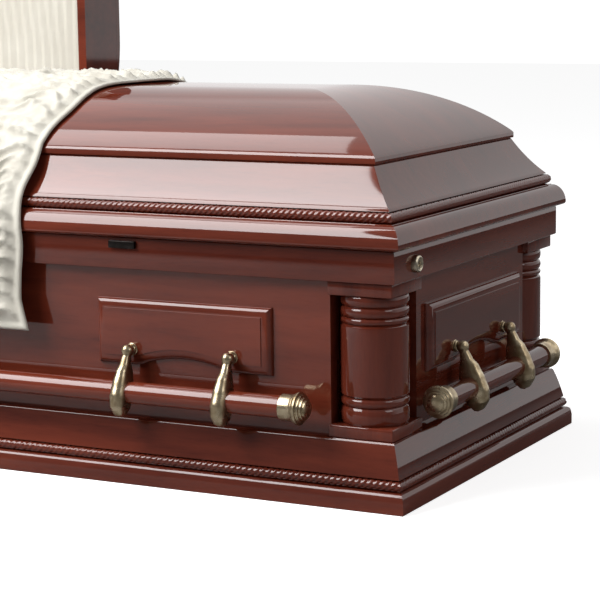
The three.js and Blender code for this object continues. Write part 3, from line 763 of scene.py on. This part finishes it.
def at_split(side):
    """Places a lid section's points at the split between the lids, on one long side."""
    return lambda inset, height: Vector((LID_SPLIT, on_side(side, 0, inset, height).y, height))


def on_lid_rope(side):
    """Places a rope's points in the hollow of one lid moulding, drawn in to the split and the mitres."""
    half_run = SIDES[side][2]

    def place(along, out, up):
        inset = LID_ROPE_INSET - out
        if side == "foot":
            return on_side(side, along * (half_run - inset) / half_run, inset, LID_ROPE_HEIGHT + up)
        share = along / (half_run - LID_SPLIT) + 0.5
        forward = share if side == "front" else 1 - share
        x = LID_SPLIT + forward * (half_run - inset - LID_SPLIT)
        return Vector((x, on_side(side, 0, inset, 0).y, LID_ROPE_HEIGHT + up))

    return place


lid_stations = [at_split("front"), at_mitre("foot", -1), at_mitre("foot", 1), at_split("back")]
frame_section = [
    (0.0170, 0.3910), (0.0120, 0.3928), (0.0102, 0.3950),
    *arc((0.0300, 0.3950), (0.0200, 0.0325), 176, 92, 12),
    (0.0300, 0.4284), (0.0400, 0.4290), (0.0420, 0.4460), (0.0370, 0.4466),
    *bend((0.0375, 0.4480), (0.0625, 0.4725), (0.0830, 0.5090), 14),
    (0.0845, 0.5110), (0.1050, 0.5110), (0.0600, 0.4480), (0.0580, 0.4400), (0.0580, 0.3910),
]
for lid, opened in LIDS.items():
    lid_frame = swept(frame_section, lid_stations)
    bmesh.ops.transform(lid_frame, matrix=opened, verts=lid_frame.verts)
    finished(f"{lid}_moulding", lid_frame, mahogany_along_x, lid, [f"{lid}_frame"])
    for side in ("front", "foot", "back"):
        half_run = SIDES[side][2]
        rope_run = 2 * half_run if side == "foot" else half_run - LID_SPLIT
        lid_rope = rope_bead(rope_run, on_lid_rope(side))
        bmesh.ops.transform(lid_rope, matrix=opened, verts=lid_rope.verts)
        finished(f"{lid}_rope_{side}", lid_rope, mahogany_by_side[side], lid, sharp_angle=80)


# Lid crowns: a vaulted top that rises from a square edge to a flat, with sharp hips at its outer end and
# a header board that closes it at the split. It is bent veneer over a core, glued on the cove.
CROWN_INSET, CROWN_FOOT, CROWN_EDGE, CROWN_TOP = 0.080, 0.5113, 0.521, 0.610
CROWN_REACH, CROWN_SKIN, CROWN_WALL, CROWN_STEPS = 0.222, 0.012, 0.020, 20
HEADER_NEAR, HEADER_FAR, HEADER_FOOT, HEADER_INSET = 0.0015, 0.0195, 0.484, 0.107
CROWN_RISE = CROWN_TOP - CROWN_EDGE
CROWN_RADIUS = (CROWN_REACH ** 2 + CROWN_RISE ** 2) / (2 * CROWN_RISE)
VAULT_CENTRE = (CROWN_INSET + CROWN_REACH, CROWN_TOP - CROWN_RADIUS)


def vault(radius, edge_inset, steps):
    """Points (inset, height) up the vault from an edge to the flat."""
    widest = math.asin((VAULT_CENTRE[0] - edge_inset) / radius)
    angles = [widest * (1 - step / steps) for step in range(steps + 1)]
    return [(VAULT_CENTRE[0] - radius * math.sin(a), VAULT_CENTRE[1] + radius * math.cos(a)) for a in angles]


crown_section = [
    (CROWN_INSET + 0.0006, CROWN_FOOT), (CROWN_INSET, CROWN_FOOT + 0.0008),
    (CROWN_INSET, CROWN_EDGE - 0.0016), (CROWN_INSET + 0.0004, CROWN_EDGE - 0.0004),
    (CROWN_INSET + 0.0016, CROWN_EDGE + 0.0011),
    *vault(CROWN_RADIUS, CROWN_INSET + 0.004, CROWN_STEPS),
    (HALF_WIDTH, CROWN_TOP), (HALF_WIDTH, CROWN_TOP - CROWN_SKIN),
    *reversed(vault(CROWN_RADIUS - CROWN_SKIN, CROWN_INSET + CROWN_WALL, CROWN_STEPS)),
    (CROWN_INSET + CROWN_WALL, CROWN_FOOT),
]


def header_board():
    """The board that closes a crown at the split, its top cut to the vault."""
    half_outline = vault(CROWN_RADIUS - CROWN_SKIN - 0.0003, HEADER_INSET, CROWN_STEPS)
    outline = [(-HALF_WIDTH + inset, height) for inset, height in half_outline]
    outline += [(-y, height) for y, height in reversed(outline)]
    outline += [(HALF_WIDTH - HEADER_INSET, HEADER_FOOT), (HEADER_INSET - HALF_WIDTH, HEADER_FOOT)]
    bm = bmesh.new()
    face = bm.faces.new([bm.verts.new((HEADER_NEAR, y, height)) for y, height in outline])
    grown = bmesh.ops.extrude_face_region(bm, geom=[face])["geom"]
    verts = [item for item in grown if isinstance(item, bmesh.types.BMVert)]
    bmesh.ops.translate(bm, vec=(HEADER_FAR - HEADER_NEAR, 0, 0), verts=verts)
    return bm


for lid, opened in LIDS.items():
    crown = swept(crown_section, lid_stations)
    bmesh.ops.remove_doubles(crown, verts=crown.verts, dist=0.00002)
    crown = joined(crown, header_board())
    bmesh.ops.transform(crown, matrix=opened, verts=crown.verts)
    finished(f"{lid}_vault", crown, mahogany_along_x, lid, [f"{lid}_crown"], sharp_angle=20)


# Linings: cream crepe, gathered in fine pleats up the walls of the box and laid over its floor. It is
# tacked under the rails, so its upper edge turns over a soft roll.
CREAM_LIGHT, CREAM_SHADE = (0.60, 0.575, 0.505, 1), (0.52, 0.49, 0.42, 1)
LINING_INSET, LINING_FLOOR, LINING_TOP = 0.0686, 0.0275, 0.3862
LINING_NOTCH = 0.1665
PLEAT_WIDTH, PLEAT_DEPTH, PLEAT_WANDER = 0.017, 0.0045, 2.4
LINING_STEP, LINING_ROWS, CLOTH_THICKNESS = 0.0058, 26, 0.002
ROLL_SHARE, ROLL_DEPTH, LOOK_ALONG = 0.10, 0.004, 0.0012
FLOOR_SWELL, FLOOR_CREASE, FLOOR_OVERLAP = 0.0045, 0.0022, 0.001
CREPE_ROUGHNESS, THREAD_ROUGHNESS = 0.72, 0.2

crepe, crepe_in, crepe_out = new_group(
    "crepe_weave",
    [("Place", "NodeSocketVector"), ("Light", "NodeSocketColor"), ("Shade", "NodeSocketColor")],
    [("Color", "NodeSocketColor"), ("Roughness", "NodeSocketFloat"), ("Height", "NodeSocketFloat")],
)
crinkle = noise_node(crepe, crepe_in.outputs["Place"], 130, 3, 1.2)
thread = noise_node(crepe, crepe_in.outputs["Place"], 1100, 1)
tint = ramp_node(crepe, noise_node(crepe, crepe_in.outputs["Place"], 9, 3), 0.35, 0.75)
cloth_colour = mix_colour(crepe, tint, crepe_in.outputs["Light"], crepe_in.outputs["Shade"])
crepe.links.new(cloth_colour, crepe_out.inputs["Color"])
matting = math_node(crepe, "MULTIPLY", thread, THREAD_ROUGHNESS)
crepe.links.new(math_node(crepe, "ADD", matting, CREPE_ROUGHNESS), crepe_out.inputs["Roughness"])
cloth_height = math_node(crepe, "ADD", crinkle, math_node(crepe, "MULTIPLY", thread, 0.25))
crepe.links.new(cloth_height, crepe_out.inputs["Height"])


def crepe_cloth(name):
    """Matt crinkled cloth with a faint sheen."""
    material, shader, tree = plain_material(name)
    place = add_node(tree, "ShaderNodeTexCoord")
    weave = add_node(tree, "ShaderNodeGroup", node_tree=crepe)
    tree.links.new(place.outputs["Object"], weave.inputs["Place"])
    weave.inputs["Light"].default_value = CREAM_LIGHT
    weave.inputs["Shade"].default_value = CREAM_SHADE
    bump = add_node(tree, "ShaderNodeBump")
    bump.inputs["Strength"].default_value = 0.45
    bump.inputs["Distance"].default_value = 0.0015
    tree.links.new(weave.outputs["Height"], bump.inputs["Height"])
    tree.links.new(bump.outputs["Normal"], shader.inputs["Normal"])
    tree.links.new(weave.outputs["Color"], shader.inputs["Base Color"])
    tree.links.new(weave.outputs["Roughness"], shader.inputs["Roughness"])
    shader.inputs["Sheen Weight"].default_value = 0.25
    return material


cream_crepe = crepe_cloth("cream_crepe")


def along_line(points, share):
    """The point at a share of the length of a chain of points."""
    steps = [(Vector(b) - Vector(a)).length for a, b in zip(points, points[1:])]
    left = share * sum(steps)
    for first, last, step in zip(points, points[1:], steps):
        if left <= step or last is points[-1]:
            return Vector(first).lerp(Vector(last), min(1, left / step))
        left -= step


def line_length(points):
    """The length of a chain of points."""
    return sum((Vector(b) - Vector(a)).length for a, b in zip(points, points[1:]))


def uneven(x, y, rates, seed):
    """Smooth unevenness, about -1 to 1, with its rates each metre along x and y."""
    return noise.noise(Vector((x * rates[0], y * rates[1], seed)))


def thick_cloth(piece):
    """Gives a sheet its thickness, behind its face."""
    solid = piece.modifiers.new("cloth_thickness", "SOLIDIFY")
    solid.thickness = CLOTH_THICKNESS
    solid.offset = -1


inner_x, inner_y = HALF_LENGTH - LINING_INSET, HALF_WIDTH - LINING_INSET
notch_x, notch_y = HALF_LENGTH - LINING_NOTCH, HALF_WIDTH - LINING_NOTCH
quarter = [(inner_x, notch_y), (notch_x, notch_y), (notch_x, inner_y)]
lining_plan = quarter + [(-x, y) for x, y in reversed(quarter)]
lining_plan += [(-x, -y) for x, y in lining_plan]
lining_plan.append(lining_plan[0])
lining_round = line_length(lining_plan)
lining_columns = round(lining_round / LINING_STEP)
lining_walls = bmesh.new()
bmesh.ops.create_grid(lining_walls, x_segments=lining_columns, y_segments=LINING_ROWS, size=0.5)
for vert in lining_walls.verts:
    share, rise = vert.co.x + 0.5, vert.co.y + 0.5
    spot = along_line(lining_plan, share)
    before = along_line(lining_plan, max(0, share - LOOK_ALONG))
    after = along_line(lining_plan, min(1, share + LOOK_ALONG))
    run = (after - before).normalized()
    inward = Vector((-run.y, run.x))
    wander = uneven(share, rise, (60, 1.5), 0)
    pleat = math.sin(math.tau * share * lining_round / PLEAT_WIDTH + PLEAT_WANDER * wander) ** 2
    roll = math.sin(math.pi * min(1, (1 - rise) / ROLL_SHARE)) if rise > 1 - ROLL_SHARE else 0
    bulge = PLEAT_DEPTH * pleat * min(1, 6 * (1 - rise) + 0.25) + ROLL_DEPTH * roll
    height = LINING_FLOOR + rise * (LINING_TOP - LINING_FLOOR)
    spot = spot + inward * bulge
    vert.co = (spot.x, spot.y, height)
bmesh.ops.remove_doubles(lining_walls, verts=lining_walls.verts, dist=0.0001)
walls_cloth = finished(
    "box_lining_walls", lining_walls, cream_crepe, "root", ["box_lining"], sharp_angle=180,
)
thick_cloth(walls_cloth)

lining_floor = bmesh.new()
bmesh.ops.create_grid(lining_floor, x_segments=150, y_segments=46, size=1)
for vert in lining_floor.verts:
    x, y = vert.co.x * (inner_x + FLOOR_OVERLAP), vert.co.y * (inner_y + FLOOR_OVERLAP)
    swell = FLOOR_SWELL * (1 - vert.co.x ** 8) * (1 - vert.co.y ** 8)
    crease = FLOOR_CREASE * noise.fractal(Vector((x * 7, y * 16, 4)), 1.0, 2.0, 3)
    vert.co = (x, y, LINING_FLOOR + swell + crease * (1 - vert.co.y ** 8))
in_notch = [
    face for face in lining_floor.faces
    if abs(face.calc_center_median().x) > notch_x and abs(face.calc_center_median().y) > notch_y
]
bmesh.ops.delete(lining_floor, geom=in_notch, context="FACES")
floor_cloth = finished(
    "box_lining_floor", lining_floor, cream_crepe, "root", ["box_lining"], sharp_angle=180,
)
thick_cloth(floor_cloth)


# Head lid lining: the same crepe, gathered over the inside of the open lid and stretched across its
# hollow. It follows the frame, the slope behind the cove and a flat ceiling under the crown.
LID_LINING_NEAR = 0.0215
LID_LINING_PROFILE = [(0.0655, 0.3945), (0.0680, 0.4430), (0.1060, 0.4985), (0.1400, 0.4995)]
LID_PLEAT_WIDTH, LID_PLEAT_DEPTH, LID_PLEAT_WANDER, LID_PLEAT_START = 0.021, 0.0050, 2.8, 0.03


def lining_depth(inset):
    """How high the lining stands in the closed lid at an inset from the lid's edge."""
    for (near, low), (far, high) in zip(LID_LINING_PROFILE, LID_LINING_PROFILE[1:]):
        if inset <= far:
            return low + (high - low) * (inset - near) / (far - near)
    return LID_LINING_PROFILE[-1][1]


def across_lining(share, span):
    """The inset at a share of the way across a span, with the steep edge given its own length."""
    chain = LID_LINING_PROFILE + [(span, LID_LINING_PROFILE[-1][1])]
    return along_line(chain, share).x


lid_lining = bmesh.new()
bmesh.ops.create_grid(lid_lining, x_segments=150, y_segments=130, size=1)
for vert in lid_lining.verts:
    lengthwise = HALF_LENGTH - across_lining(1 - (vert.co.x + 1) / 2, HALF_LENGTH - LID_LINING_NEAR)
    inset = across_lining(1 - abs(vert.co.y), HALF_WIDTH)
    y = math.copysign(HALF_WIDTH - inset, vert.co.y)
    height = min(lining_depth(inset), lining_depth(HALF_LENGTH - lengthwise))
    wander = uneven(lengthwise, y, (9, 5), 2)
    pleat = math.sin(math.tau * lengthwise / LID_PLEAT_WIDTH + LID_PLEAT_WANDER * wander) ** 2
    edge = min(1, max(0, (height - LID_LINING_PROFILE[0][1]) / LID_PLEAT_START))
    vert.co = (lengthwise, y, height - LID_PLEAT_DEPTH * pleat * edge)
bmesh.ops.transform(lid_lining, matrix=HEAD_OPEN, verts=lid_lining.verts)
lid_cloth = finished(
    "head_lid_cloth", lid_lining, cream_crepe, "head_lid", ["head_lid_lining"],
    sharp_angle=180,
)
thick_cloth(lid_cloth)


# Throw: a panel of cream crepe, puckered all over, with a smooth rolled hem. It lies over the head end of
# the foot lid, hangs down its front and ends at the crown's back edge.
THROW_NEAR, THROW_WIDTH, THROW_SLANT = 0.003, 0.378, 0.07
THROW_FOOT, THROW_OFF = 0.233, 0.0045
HEM_WIDTH, HEM_ROLL, HEM_WAVER, HEM_FLARE = 0.012, 0.0038, 0.012, 0.011
UNHEMMED, FLARE_HEIGHT, THROW_LOOK = 0.03, 0.05, 0.004
SWELL, FOLD_DEPTH, PUCKER_DEPTH = 0.0060, 0.0140, 0.0045
FOLD_RATE, FOLD_WANDER = 112, 3.4

throw_line = [(0.0050, THROW_FOOT), (0.0055, 0.330), (0.0050, 0.395)]
throw_line += bend((0.0050, 0.400), (0.0120, 0.440), (0.0420, 0.476), 8)
throw_line += bend((0.0450, 0.480), (0.0660, 0.506), (0.0800, 0.528), 5)
throw_line += vault(CROWN_RADIUS + THROW_OFF, CROWN_INSET + 0.006, 16)
throw_line = [(inset - HALF_WIDTH, height) for inset, height in throw_line]
back_vault = vault(CROWN_RADIUS + THROW_OFF, CROWN_INSET + 0.004, 16)
throw_line += [(HALF_WIDTH - inset, height) for inset, height in reversed(back_vault)]
throw_length = line_length(throw_line)
throw = bmesh.new()
bmesh.ops.create_grid(throw, x_segments=130, y_segments=290, size=0.5)
for vert in throw.verts:
    across, share = vert.co.x + 0.5, vert.co.y + 0.5
    spot = along_line(throw_line, share)
    ahead_spot = along_line(throw_line, min(1, share + THROW_LOOK))
    behind_spot = along_line(throw_line, max(0, share - THROW_LOOK))
    slope = (ahead_spot - behind_spot).normalized()
    outward = Vector((-slope.y, slope.x))
    drift = THROW_SLANT * max(0, spot.x + HALF_WIDTH - CROWN_INSET)
    down_line = share * throw_length
    waver = HEM_WAVER * uneven(down_line, 1, (11, 2), 0)
    flare = HEM_FLARE * max(0, 1 - down_line / FLARE_HEIGHT)
    width = THROW_WIDTH + drift + (waver + flare)
    x = THROW_NEAR + across * width
    from_tucked = min(x - THROW_NEAR, throw_length - down_line) + UNHEMMED
    from_edge = min(from_tucked, (1 - across) * width, down_line)
    free = min(1, max(0, (from_edge - 0.8 * HEM_WIDTH) / (1.5 * HEM_WIDTH)))
    wander = uneven(x, down_line, (15, 8), 8) + 0.5 * uneven(x, down_line, (34, 17), 2)
    fold = (1 - abs(math.sin(down_line * FOLD_RATE + FOLD_WANDER * wander))) ** 1.3
    fold *= 0.65 + 0.6 * uneven(x, down_line, (22, 25), 3)
    pucker = abs(uneven(x, down_line, (48, 80), 1.7))
    lift = free * (SWELL + FOLD_DEPTH * fold + PUCKER_DEPTH * pucker)
    hem = max(0, 1 - ((from_edge - 0.5 * HEM_WIDTH) / (0.5 * HEM_WIDTH)) ** 2)
    lift += HEM_ROLL * math.sqrt(hem)
    spot = spot + outward * lift
    vert.co = (x, spot.x, spot.y)
throw_cloth = finished(
    "lid_throw_cloth", throw, cream_crepe, "foot_lid", ["lid_throw"], sharp_angle=180,
)
thick_cloth(throw_cloth)
